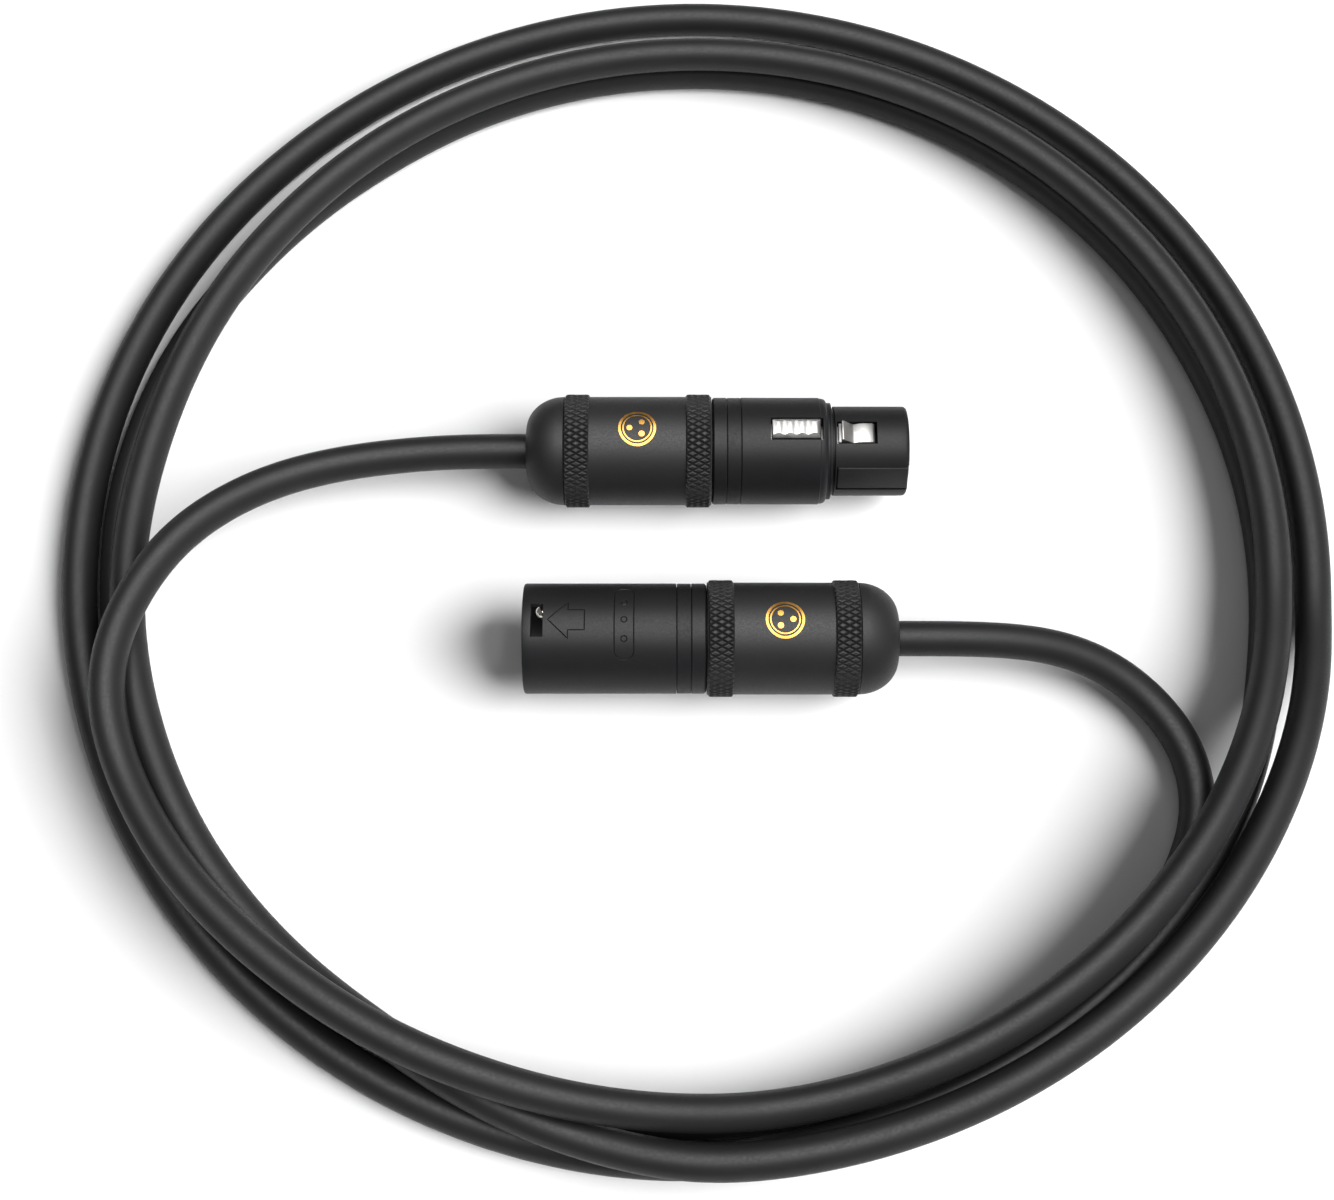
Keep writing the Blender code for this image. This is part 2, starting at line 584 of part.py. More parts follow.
def latch(frame):
    """The sprung lever: an eye on the pivot, the press button, and the tongue with its catch."""
    button_top = SHELL_RADIUS + BUTTON_PROUD
    slope_length, slope_drop = BUTTON_SLOPE
    tongue_top = NOSE_RADIUS - TONGUE_SUNK
    catch_top = NOSE_RADIUS + CATCH_PROUD
    beam_top = NOSE_BORE - 2.2 * GAP
    catch = LEVER_TONGUE + CATCH_START
    outline = arc((PIVOT_X, PIVOT_Z), EYE_RADIUS, 100.0, 270.0, 8) + [
        (LEVER_TIP, LEVER_UNDER),
        (LEVER_TIP, tongue_top - 2.0 * EDGE),
        (LEVER_TIP - 2.0 * EDGE, tongue_top),
        (catch + CATCH_LENGTH, tongue_top),
        (catch + 0.1 * CATCH_LENGTH, catch_top),
        (catch, catch_top),
        (catch, tongue_top),
        (LEVER_TONGUE, tongue_top),
        (LEVER_TONGUE, beam_top),
        (BUTTON_END, beam_top),
        (BUTTON_END, button_top - slope_drop),
        (BUTTON_END - slope_length, button_top),
        (BUTTON_START, button_top),
        (BUTTON_START, PIVOT_Z + EYE_RADIUS - EDGE / 2.0),
    ]
    lever = finish_object(
        "female_latch", plate(outline, LATCH_WIDTH), NICKEL, frame, (PIVOT_X, 0.0, PIVOT_Z))
    eye_hole = rod(
        (PIVOT_X, -LATCH_WIDTH, PIVOT_Z), (PIVOT_X, LATCH_WIDTH, PIVOT_Z), PIVOT_RADIUS + GAP)
    boolean(lever, finish_object("female_latch_eye", eye_hole, parent=frame))
    reach = PIVOT_HALF_LENGTH
    pin = rod((PIVOT_X, -reach, PIVOT_Z), (PIVOT_X, reach, PIVOT_Z), PIVOT_RADIUS)
    finish_object("female_latch_pin", pin, SPRING_STEEL, frame)

    low = CHANNEL_FLOOR - SPRING_POCKET_DEPTH + GAP + SPRING_WIRE
    high = LEVER_UNDER - GAP - SPRING_WIRE
    per_turn = 10
    points = []
    for step in range(SPRING_TURNS * per_turn + 1):
        angle = math.tau * step / per_turn
        height = low + (high - low) * step / (SPRING_TURNS * per_turn)
        points.append((
            SPRING_X + SPRING_RADIUS * math.cos(angle), SPRING_RADIUS * math.sin(angle), height))
    tube("female_latch_spring", points, SPRING_WIRE, SPRING_STEEL, frame, 0)


def male_shell(frame):
    rib_start = CHAMBER_END - MALE_RIB_LENGTH
    outline = shell_start() + [
        (MALE_LENGTH - EDGE, SHELL_RADIUS),
        (MALE_LENGTH, SHELL_RADIUS - EDGE),
        (MALE_LENGTH, CUP_WALL_RADIUS + EDGE),
        (MALE_LENGTH - EDGE, CUP_WALL_RADIUS),
        (CHAMBER_END, CUP_WALL_RADIUS),
        (CHAMBER_END, SHELL_BORE - MALE_RIB_HEIGHT),
        (rib_start, SHELL_BORE - MALE_RIB_HEIGHT),
        (rib_start, SHELL_BORE),
        (0.0, SHELL_BORE),
    ]
    shell = finish_object("male_shell", turned(outline), BLACK_METAL, frame)
    window_end = MALE_LENGTH - WINDOW_SETBACK
    window = block(
        (window_end - WINDOW_LENGTH, -WINDOW_WIDTH / 2.0, CUP_WALL_RADIUS / 2.0),
        (window_end, WINDOW_WIDTH / 2.0, 2.0 * SHELL_RADIUS))
    boolean(shell, finish_object("male_window", window, parent=frame))
    key = block(
        (MALE_INSERT_FACE + GAP, -KEY_WIDTH / 2.0, CUP_WALL_RADIUS - KEYWAY_DEPTH),
        (MALE_LENGTH - 3.0 * EDGE, KEY_WIDTH / 2.0, CUP_WALL_RADIUS + CUP_WALL / 2.0),
        math.radians(-KEY_ANGLE))
    boolean(shell, finish_object("male_key", key, parent=frame), "UNION")


def male_insert(frame):
    outline = [
        (CHAMBER_END + GAP, 0.0),
        (CHAMBER_END + GAP, CUP_WALL_RADIUS - GAP),
        (MALE_INSERT_FACE - EDGE, CUP_WALL_RADIUS - GAP),
        (MALE_INSERT_FACE, CUP_WALL_RADIUS - GAP - EDGE),
        (MALE_INSERT_FACE, 0.0),
    ]
    insert = finish_object("male_insert", turned(outline, closed=False), BLACK_PLASTIC, frame)
    holes = join([
        rod((CHAMBER_END, y, z), (MALE_INSERT_FACE + GAP, y, z), PIN_RADIUS + GAP)
        for y, z in contact_places()])
    boolean(insert, finish_object("male_pin_holes", holes, parent=frame))


def male_pins(frame):
    tip = MALE_LENGTH - PIN_SETBACK
    nose = PIN_RADIUS
    outline = [
        (SOLDER_CUP_REAR + CUP_DEPTH, 0.0),
        (SOLDER_CUP_REAR + CUP_DEPTH, CUP_BORE),
        (SOLDER_CUP_REAR, CUP_BORE),
        (SOLDER_CUP_REAR, PIN_RADIUS),
    ]
    outline += [(tip - nose + nose * math.cos(t), nose * math.sin(t))
                for t in (math.radians(90.0 - 22.5 * step) for step in range(5))]
    outline[-1] = (tip, 0.0)
    for number, place in enumerate(contact_places(), 1):
        pin = turned(outline, ROUND_SMALL, place, False)
        finish_object(f"male_pin_{number}", pin, SILVER, frame)


def coil():
    """The coiled cable as one turned ring of the coil's outer shape."""
    width = COIL_STRANDS_WIDE * 2.0 * CABLE_RADIUS
    height = COIL_LAYERS * 2.0 * CABLE_RADIUS
    inner = COIL_INNER_RADIUS
    outer = inner + width
    corner = CABLE_RADIUS
    outline = []
    for across, up, start in (
            (outer - corner, corner, -90.0), (outer - corner, height - corner, 0.0),
            (inner + corner, height - corner, 90.0), (inner + corner, corner, 180.0)):
        outline += arc((across, up), corner, start, start + 90.0, 2)
    bm = bmesh.new()
    verts = [bm.verts.new((radius, 0.0, up)) for radius, up in outline]
    edges = [bm.edges.new(pair) for pair in zip(verts, verts[1:] + verts[:1])]
    bmesh.ops.spin(
        bm, geom=verts + edges, cent=(0.0, 0.0, 0.0), axis=(0.0, 0.0, 1.0),
        angle=math.tau, steps=2 * ROUND, use_merge=True)
    bmesh.ops.remove_doubles(bm, verts=bm.verts, dist=0.001 * MM)
    ring = finish_object("cable_coil", bm, CABLE_JACKET)
    ring.location = COIL_CENTRE


def lead(name, frame, route):
    """The free stretch of cable from a boot to the coil."""
    start = frame.matrix_world @ Vector((CABLE_END_REAR - GAP, 0.0, 0.0))
    points = smooth_route([tuple(start / MM), *route])
    tube(name, points, CABLE_RADIUS, CABLE_JACKET, resolution=4)


def build():
    for old in list(bpy.data.objects):
        bpy.data.objects.remove(old, do_unlink=True)

    female = empty_at("female_connector", FEMALE_TIP - Vector((FEMALE_FRONT, 0.0, 0.0)))
    male = empty_at("male_connector", MALE_MOUTH + Vector((MALE_LENGTH, 0.0, 0.0)), math.pi)
    bpy.context.view_layer.update()

    for end, frame in (("female", female), ("male", male)):
        code_ring(end, frame)
        boot(end, frame)
        wiring(end, frame)
    female_shell(female)
    female_insert(female)
    female_contacts(female)
    latch(female)
    male_shell(male)
    male_insert(male)
    male_pins(male)
    coil()
    lead("cable_lead_female", female, FEMALE_ROUTE)
    lead("cable_lead_male", male, MALE_ROUTE)


build()
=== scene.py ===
import math

import bmesh
import bpy
import numpy as np
from mathutils import Matrix, Vector


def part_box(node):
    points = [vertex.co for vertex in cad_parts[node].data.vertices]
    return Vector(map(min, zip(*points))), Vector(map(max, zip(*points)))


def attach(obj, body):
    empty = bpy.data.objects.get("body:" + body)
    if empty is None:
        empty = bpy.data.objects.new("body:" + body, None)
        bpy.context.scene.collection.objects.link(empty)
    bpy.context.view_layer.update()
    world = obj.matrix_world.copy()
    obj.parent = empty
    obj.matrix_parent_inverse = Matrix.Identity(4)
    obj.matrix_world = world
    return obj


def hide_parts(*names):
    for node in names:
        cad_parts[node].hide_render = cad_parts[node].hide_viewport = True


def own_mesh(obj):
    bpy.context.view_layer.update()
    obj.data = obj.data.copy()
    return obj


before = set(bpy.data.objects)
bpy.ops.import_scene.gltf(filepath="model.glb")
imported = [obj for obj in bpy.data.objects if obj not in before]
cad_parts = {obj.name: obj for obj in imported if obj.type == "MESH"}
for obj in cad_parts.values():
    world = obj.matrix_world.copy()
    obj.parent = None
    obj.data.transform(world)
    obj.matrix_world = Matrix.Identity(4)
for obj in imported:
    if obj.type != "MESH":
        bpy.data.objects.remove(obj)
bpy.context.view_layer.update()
MM = 0.001
bpy.ops.object.select_all(action="DESELECT")


# The cable: 6.2 mm microphone cable in one extruded jacket of soft PVC, matt from the die. It
# leaves the female boot, goes three and a half times round the coil, each turn laid beside or
# on the ones before it, dives under them and comes up into the male boot.
cable_width = 6.2
cable_bend = 90.0
coil_centre = np.array([-3.65, 4.7])
female_lead = [
    (-32.75, 17.8, 10.1), (-46.0, 17.8, 10.1), (-56.4, 17.0, 10.1), (-65.5, 15.6, 10.5),
    (-74.5, 13.0, 11.6), (-83.5, 8.4, 13.2), (-91.0, 2.4, 14.5), (-94.1, -1.0, 15.0),
]
male_lead = [
    (29.95, -17.8, 10.1), (44.0, -17.8, 10.1), (55.0, -17.9, 8.9), (63.3, -19.2, 7.2),
    (69.5, -22.1, 5.6), (74.6, -25.8, 4.3), (78.4, -30.2, 3.5), (79.4, -31.8, 3.3),
]
# Points of the coil's turns: degrees round the coil's centre, and millimetres from it
coil_points = [
    (185.1, 93.0), (187.7, 96.3), (190.4, 99.1), (192.8, 101.6), (194.6, 103.2),
    (196.6, 104.7), (199.0, 105.9), (204.0, 107.0), (216.0, 106.7), (231.0, 104.8),
    (251.0, 103.4), (280.0, 102.6), (330.0, 102.3), (360.0, 101.5), (399.0, 99.8),
    (450.0, 98.3), (501.0, 97.9), (530.0, 98.9), (550.0, 100.7), (575.0, 102.4),
    (600.0, 103.2), (615.0, 107.0), (630.0, 110.6), (650.0, 110.4), (690.0, 110.0),
    (760.0, 111.0), (810.0, 111.1), (859.0, 110.4), (906.0, 110.2), (945.0, 109.9),
    (990.0, 109.5), (1030.0, 106.5), (1070.0, 102.4), (1101.0, 100.0), (1130.0, 99.2),
    (1170.0, 98.5), (1208.0, 98.5), (1225.0, 100.1), (1240.0, 102.3), (1256.0, 103.4),
    (1280.0, 103.5), (1310.0, 103.2), (1350.0, 103.0), (1380.0, 103.3), (1395.0, 103.9),
    (1401.0, 103.4), (1406.0, 102.0), (1410.0, 99.9), (1412.4, 97.4), (1415.0, 93.6),
]
route_step = 1.5


def softened(points, reach):
    """A route smoothed along its length, its two ends kept where they are."""
    count = int(4.0 * reach / route_step)
    steps = np.arange(-count, count + 1) * route_step
    weights = np.exp(-0.5 * (steps / reach) ** 2)
    weights /= weights.sum()
    before = 2.0 * points[0] - points[count:0:-1]
    after = 2.0 * points[-1] - points[-2:-count - 2:-1]
    longer = np.vstack([before, points, after])
    columns = [np.convolve(longer[:, k], weights, "valid") for k in range(points.shape[1])]
    return np.array(columns).T


angles = np.arange(coil_points[0][0], coil_points[-1][0], 2.0)
radii = np.interp(angles, *zip(*coil_points))
turns = np.array([radii * np.cos(np.radians(angles)), radii * np.sin(np.radians(angles))]).T
turns = np.column_stack([turns + coil_centre, np.full(len(turns), cable_width / 2.0)])
whole = np.vstack([female_lead, turns, male_lead[::-1]])
walked = np.append(0.0, np.cumsum(np.linalg.norm(np.diff(whole[:, :2], axis=0), axis=1)))
along = np.linspace(0.0, walked[-1], int(round(walked[-1] / route_step)) + 1)
level = np.array([np.interp(along, walked, whole[:, k]) for k in range(3)]).T
on_lead = (along <= walked[len(female_lead) - 1]) | (along >= walked[-len(male_lead)])
resting = np.where(on_lead, level[:, 2], cable_width / 2.0)
plan = softened(level[:, :2], 6.0)

# Each stretch lies on what was laid before it: it rises over it no sharper than the cable bends
apart = np.linalg.norm(plan[:, None] - plan[None], axis=2)
further = along[:, None] - along[None]
touching = cable_width + 0.12
below = (further < -30.0) & (apart < touching)
rise = np.sqrt(np.maximum(0.0, touching ** 2 - apart ** 2))
hump = further ** 2 / (2.0 * cable_bend)
height = resting.copy()
for _ in range(60):
    held_up = np.where(below, height[None] + rise, -1.0e9).max(axis=1)
    needed = np.maximum(resting, held_up)
    eased = np.where(on_lead, needed, np.maximum((needed[None] - hump).max(axis=1), needed))
    settled = np.abs(eased - height).max() < 0.001
    height = eased
    if settled:
        break
height = softened(height[:, None], 5.0)
route = np.hstack([plan, height]) * MM

line = bpy.data.curves.new("cable", "CURVE")
line.dimensions = "3D"
# The round section is a metre in radius and each point scales it to the cable, so that the
# curve's own box is the cable's
line.bevel_depth = 1.0
line.bevel_resolution = 6
line.use_fill_caps = True
spline = line.splines.new("POLY")
spline.points.add(len(route) - 1)
spline.points.foreach_set("co", np.column_stack([route, np.ones(len(route))]).ravel())
spline.points.foreach_set("radius", np.full(len(route), cable_width / 2.0 * MM))
spline.use_smooth = True
cable = bpy.data.objects.new("cable", line)
bpy.context.collection.objects.link(cable)
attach(cable, "root")
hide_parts("cable_coil", "cable_lead_female", "cable_lead_male")


def linear(code):
    """A colour given as sRGB hex, in the linear values that a shader takes."""
    parts = [int(code[k:k + 2], 16) / 255.0 for k in (1, 3, 5)]
    return (*(c / 12.92 if c <= 0.04045 else ((c + 0.055) / 1.055) ** 2.4 for c in parts), 1.0)


def add_node(tree, kind, settings=None, links=None):
    """A node with its settings, by property or input, and the links into its inputs."""
    node = tree.nodes.new(kind)
    for name, value in (settings or {}).items():
        if isinstance(name, int) or name in node.inputs:
            node.inputs[name].default_value = value
        else:
            setattr(node, name, value)
    for name, source in (links or {}).items():
        tree.links.new(source, node.inputs[name])
    return node


def moulded(name, dark, light, roughness, grain, depth, shine=0.3):
    """Plastic or rubber: two close shades in soft patches, and a grain of a size and depth in mm.
    The real grain is finer than a tenth of a millimetre, and is drawn coarser so that it shows."""
    material = bpy.data.materials.new(name)
    material.use_nodes = True
    tree = material.node_tree
    place = add_node(tree, "ShaderNodeTexCoord")
    patches = add_node(tree, "ShaderNodeTexNoise", {"Scale": 1000.0 / 8.0, "Detail": 3.0}, {
        "Vector": place.outputs["Object"]})
    shade = add_node(tree, "ShaderNodeMix", {
        "data_type": "RGBA", 6: linear(dark), 7: linear(light)}, {0: patches.outputs[0]})
    fine = add_node(tree, "ShaderNodeTexNoise", {"Scale": 1000.0 / grain, "Detail": 2.0}, {
        "Vector": place.outputs["Object"]})
    dull = add_node(tree, "ShaderNodeMapRange", {
        1: 0.3, 2: 0.7, 3: roughness - 0.06, 4: roughness + 0.06}, {0: fine.outputs[0]})
    relief = add_node(tree, "ShaderNodeBump", {"Strength": 0.6, "Distance": depth * MM}, {
        "Height": fine.outputs[0]})
    shader = tree.nodes["Principled BSDF"]
    shader.inputs["Specular IOR Level"].default_value = shine
    tree.links.new(shade.outputs[2], shader.inputs["Base Color"])
    tree.links.new(dull.outputs[0], shader.inputs["Roughness"])
    tree.links.new(relief.outputs[0], shader.inputs["Normal"])
    return material


# Soft PVC: black and matt from the die, with one broad soft band of light along each turn
cable_jacket = moulded("soft_pvc_jacket", "#1c1c1d", "#222223", 0.5, 0.45, 0.012, 0.22)
cable.data.materials.append(cable_jacket)


# Both connectors are built lying along +X with the seam between shell and boot at zero, and
# each piece is then put in its place at its own end of the cable.
shell_radius = 9.5
female_low, female_high = (Vector(corner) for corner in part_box("female_shell"))
male_low, male_high = (Vector(corner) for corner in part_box("male_shell"))
female_seam = Vector((female_low.x, (female_low.y + female_high.y) / 2.0, female_high.z - shell_radius * MM))
male_seam = Vector((male_high.x, (male_low.y + male_high.y) / 2.0, male_high.z - shell_radius * MM))
ends = {
    "female": Matrix.Translation(female_seam),
    "male": Matrix.Translation(male_seam) @ Matrix.Rotation(math.pi, 4, "Z"),
}


def drawn(name, points):
    """An open line of (along, across, up) points in millimetres, drawn point by point."""
    bpy.ops.object.select_all(action="DESELECT")
    bpy.ops.mesh.primitive_plane_add(size=MM, location=(0.0, 0.0, 0.0))
    piece = bpy.context.object
    piece.name = name
    bpy.ops.object.mode_set(mode="EDIT")
    bpy.ops.mesh.select_mode(type="VERT")
    bpy.ops.mesh.select_all(action="SELECT")
    bpy.ops.mesh.merge(type="CENTER")
    bpy.ops.transform.translate(value=Vector(points[0]) * MM)
    for start, stop in zip(points, points[1:]):
        step = (Vector(stop) - Vector(start)) * MM
        bpy.ops.mesh.extrude_vertices_move(TRANSFORM_OT_translate={"value": step})
    return piece


def turned(name, outline, sides=96, centre=(0.0, 0.0)):
    """A piece turned about an axis along X from (along, radius) points, at (across, up)."""
    piece = drawn(name, [(along, 0.0, radius) for along, radius in outline])
    bpy.ops.mesh.select_all(action="SELECT")
    bpy.ops.mesh.spin(
        steps=sides, angle=math.tau, center=(0.0, 0.0, 0.0), axis=(1.0, 0.0, 0.0))
    bpy.ops.mesh.select_all(action="SELECT")
    bpy.ops.mesh.remove_doubles(threshold=0.002 * MM)
    bpy.ops.mesh.normals_make_consistent(inside=False)
    bpy.ops.transform.translate(value=(0.0, centre[0] * MM, centre[1] * MM))
    bpy.ops.object.mode_set(mode="OBJECT")
    return piece


def rounded(piece, width, segments=2, angle=35.0):
    """The broken edges that moulding, plating or deburring leaves."""
    bevel = piece.modifiers.new("edges", "BEVEL")
    bevel.width = width * MM
    bevel.segments = segments
    bevel.limit_method = "ANGLE"
    bevel.angle_limit = math.radians(angle)
    bevel.use_clamp_overlap = True
    bpy.context.view_layer.objects.active = piece
    bpy.ops.object.modifier_apply(modifier=bevel.name)


def smooth(piece, angle=32.0):
    bpy.ops.object.select_all(action="DESELECT")
    piece.select_set(True)
    bpy.context.view_layer.objects.active = piece
    bpy.ops.object.shade_smooth_by_angle(angle=math.radians(angle))


def combined(piece, tool, operation="DIFFERENCE"):
    """A piece cut by a tool, or with the tool's shape added to it."""
    modifier = piece.modifiers.new("tool", "BOOLEAN")
    modifier.operation = operation
    modifier.solver = "EXACT"
    modifier.object = tool
    bpy.context.view_layer.objects.active = piece
    bpy.ops.object.modifier_apply(modifier=modifier.name)
    bpy.data.objects.remove(tool, do_unlink=True)


def swept(name, points, radius, sides=4, loop=False):
    """A round bar along a line of points in millimetres, as a closed mesh."""
    bar = bpy.data.curves.new(name, "CURVE")
    bar.dimensions = "3D"
    bar.bevel_depth = radius * MM
    bar.bevel_resolution = sides
    bar.use_fill_caps = True
    run = bar.splines.new("POLY")
    run.points.add(len(points) - 1)
    for spot, point in zip(run.points, points):
        spot.co = (*(Vector(point) * MM), 1.0)
    run.use_cyclic_u = loop
    bpy.ops.object.select_all(action="DESELECT")
    piece = bpy.data.objects.new(name, bar)
    bpy.context.collection.objects.link(piece)
    piece.select_set(True)
    bpy.context.view_layer.objects.active = piece
    bpy.ops.object.convert(target="MESH")
    piece = bpy.context.object
    bpy.ops.object.mode_set(mode="EDIT")
    bpy.ops.mesh.select_all(action="SELECT")
    bpy.ops.mesh.remove_doubles(threshold=0.001 * MM)
    bpy.ops.mesh.normals_make_consistent(inside=False)
    bpy.ops.object.mode_set(mode="OBJECT")
    return piece


def put(piece, end, name, body, slot, finish, *nodes):
    """A copy of a piece in its place at one end of the cable."""
    fitted = piece.copy()
    fitted.data = piece.data.copy()
    fitted.name = f"{end}_{name}"
    bpy.context.collection.objects.link(fitted)
    fitted.data.transform(ends[end])
    fitted.data.materials.clear()
    fitted.data.materials.append(finish)
    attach(fitted, body)
    if nodes:
        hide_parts(*[f"{end}_{node}" for node in nodes])
    return fitted


def put_at_both(piece, name, part, slot, finish, *nodes):
    """A copy at each end; part is the body it goes with, or None where it's fixed."""
    for end in ends:
        body = f"{end}_{part}" if part else "root"
        put(piece, end, name, body, slot, finish, *nodes)
    bpy.data.objects.remove(piece, do_unlink=True)


def helix(first, last, radius, pitch, runout, per_turn=24):
    """The line of a thread's groove, which leaves the work over its last quarter turn."""
    count = int(abs(last - first) / pitch * per_turn)
    points = []
    for step in range(count + 1):
        angle = math.tau * step / per_turn
        away = max(0.0, step - (count - per_turn / 4.0)) / (per_turn / 4.0)
        reach = radius + runout * away
        along = first + (last - first) * step / count
        points.append((along, reach * math.cos(angle), reach * math.sin(angle)))
    return points


# Bushing of the boot: glass-filled nylon, moulded, with a 1 mm thread that screws into the shell
# and a cone inside that closes the chuck. The rubber sleeve is pulled over it.
bushing_radius = 7.7
thread_pitch = 1.0
thread_depth = 0.42
bushing = turned("bushing", [
    (6.0, 6.1), (6.0, 7.35), (5.65, bushing_radius), (-26.1, bushing_radius), (-26.1, 5.7),
    (-28.9, 5.7), (-29.1, 5.5), (-29.1, 3.4), (-12.4, 3.4), (-12.4, 5.1), (-10.4, 6.1),
    (6.0, 6.1)])
combined(bushing, swept("groove", helix(
    6.6, 0.9, bushing_radius, thread_pitch, 0.6), thread_depth, 0))
rounded(bushing, 0.08, 1, 50.0)
smooth(bushing)

# Glass-filled nylon: black, a little greyed and roughened by the fibres at its surface
glass_filled_nylon = moulded("glass_filled_nylon", "#1c1c1d", "#242425", 0.5, 0.35, 0.012)
put_at_both(bushing, "bushing", "boot", "insert_plastic", glass_filled_nylon, "bushing")


# Sleeve of the boot: soft matt rubber moulded in one piece, with two bands of raised diamonds
# for the fingers. It's pulled over the bushing and turns with it.
waist_radius = 9.65
band_radius = 9.74
bands = ((-0.35, -4.65), (-21.75, -26.05))
diamonds_round = 52
waist_rings = (bands[0][1] - 0.05, bands[0][1] - 0.35, -13.2, -21.4, -21.7)
outline = [(-0.15, 8.0), (-0.15, band_radius - 0.12)]
for (front, rear), rings in zip(bands, (waist_rings, ())):
    outline += [(front, band_radius), ((front + rear) / 2.0, band_radius), (rear, band_radius)]
    outline += [(along, waist_radius) for along in rings]
outline += [(-26.1, band_radius - 0.12), (-26.1, 8.0), (-0.15, 8.0)]
sleeve = turned("boot_sleeve", outline, diamonds_round)


def in_bands(middle):
    """Whether a place is on the outside of one of the two bands."""
    outside = math.hypot(middle.y, middle.z) > (band_radius - 0.045) * MM
    return outside and any(rear * MM < middle.x < front * MM for front, rear in bands)


def pick_faces(piece, test):
    """Selects in edit mode the faces whose middles pass a test."""
    work = bmesh.from_edit_mesh(piece.data)
    for face in work.faces:
        face.select_set(bool(test(face.calc_center_median())))
    work.select_flush_mode()
    bmesh.update_edit_mesh(piece.data)


bpy.ops.object.mode_set(mode="EDIT")
bpy.ops.mesh.select_mode(type="FACE")
pick_faces(sleeve, in_bands)
bpy.ops.mesh.poke()
bpy.ops.mesh.select_mode(type="EDGE")
work = bmesh.from_edit_mesh(sleeve.data)
rows = [along * MM for front, rear in bands for along in (front, (front + rear) / 2.0, rear)]
for edge in work.edges:
    on_rows = all(min(abs(v.co.x - row) for row in rows) < 0.02 * MM for v in edge.verts)
    inner = len(edge.link_faces) == 2 and all(
        in_bands(face.calc_center_median()) for face in edge.link_faces)
    edge.select_set(on_rows and inner)
bmesh.update_edit_mesh(sleeve.data)
bpy.ops.mesh.dissolve_edges(use_verts=False)
bpy.ops.mesh.select_mode(type="FACE")
pick_faces(sleeve, in_bands)
bpy.ops.mesh.inset(thickness=0.17 * MM, depth=0.26 * MM, use_individual=True)
bpy.ops.mesh.inset(thickness=0.13 * MM, depth=0.07 * MM, use_individual=True)
bpy.ops.object.mode_set(mode="OBJECT")
smooth(sleeve, 24.0)

# Rubber from a sanded mould: the dullest black here, with no hard highlight
boot_rubber = moulded("boot_rubber", "#1b1b1c", "#202021", 0.55, 0.3, 0.012)
put_at_both(sleeve, "boot_sleeve", "boot", "boot_rubber", boot_rubber, "boot_sleeve")


# Dome of the boot: the same rubber, a blunt round cap that keeps the cable from kinking. It's
# held on the bushing's tail behind the sleeve.
dome_front, dome_rear = -26.16, -33.0
dome_base, cable_bore = 3.9, 3.4
outline = [(dome_front, 6.0), (dome_front, waist_radius - 0.06), (dome_front - 0.06, waist_radius)]
for step in range(2, 19):
    t = math.pi / 2.0 * step / 18.0
    outline.append((
        dome_front + (dome_rear - dome_front) * math.sin(t),
        dome_base + (waist_radius - dome_base) * math.cos(t)))
outline += [(dome_rear + 0.12, 3.55), (dome_rear + 0.4, cable_bore), (-29.4, cable_bore)]
outline += [(-29.4, 6.0), (dome_front, 6.0)]
dome = turned("boot_dome", outline)
smooth(dome)
put_at_both(dome, "boot_dome", "boot", "boot_rubber", boot_rubber, "boot_dome")


# Mark on the sleeve: gold foil pressed on the waist, a plain sign of a three-pole connector.
mark_radius = 3.3
mark_line = 0.42
mark_dot = 0.52
mark_middle = -13.2
bpy.ops.object.select_all(action="DESELECT")
bpy.ops.mesh.primitive_circle_add(
    vertices=72, radius=mark_radius * MM, fill_type="NGON",
    location=(mark_middle * MM, 0.0, 12.0 * MM))
mark = bpy.context.object
bpy.ops.object.mode_set(mode="EDIT")
bpy.ops.mesh.select_all(action="SELECT")
for line_width, gap_width in ((mark_line, 0.3), (0.22, 0.0)):
    bpy.ops.mesh.inset(thickness=line_width * MM)
    if gap_width:
        bpy.ops.mesh.inset(thickness=gap_width * MM)
bpy.ops.mesh.delete(type="FACE")
bpy.ops.mesh.select_mode(type="FACE")
gap_out = (mark_radius - mark_line) * MM
gap_in = (mark_radius - mark_line - 0.3) * MM
work = bmesh.from_edit_mesh(mark.data)
for face in work.faces:
    middle = face.calc_center_median()
    away = math.hypot(middle.x, middle.y)
    face.select_set(gap_in < away < gap_out)
bmesh.update_edit_mesh(mark.data)
bpy.ops.mesh.delete(type="FACE")
for angle in (35.0, 145.0, 270.0):
    bpy.ops.mesh.primitive_circle_add(
        vertices=24, radius=mark_dot * MM, fill_type="TRIFAN",
        location=(
            (mark_middle + 1.35 * math.sin(math.radians(angle))) * MM,
            1.35 * math.cos(math.radians(angle)) * MM, 12.0 * MM))
bpy.ops.object.mode_set(mode="OBJECT")
bpy.ops.object.transform_apply(location=True, rotation=True, scale=True)
lay = mark.modifiers.new("lay", "SHRINKWRAP")
lay.wrap_method = "PROJECT"
lay.use_project_z = True
lay.use_negative_direction = True
lay.use_positive_direction = False
foil_radius = waist_radius + 0.015
core = turned("core", [
    (-22.0, 0.0), (-22.0, foil_radius), (-5.0, foil_radius), (-5.0, 0.0)], 208)
lay.target = core
bpy.context.view_layer.objects.active = mark
bpy.ops.object.modifier_apply(modifier="lay")
bpy.data.objects.remove(core, do_unlink=True)
foil = mark.modifiers.new("foil", "SOLIDIFY")
foil.thickness = 0.03 * MM
foil.offset = 1.0
bpy.ops.object.modifier_apply(modifier="foil")
smooth(mark)


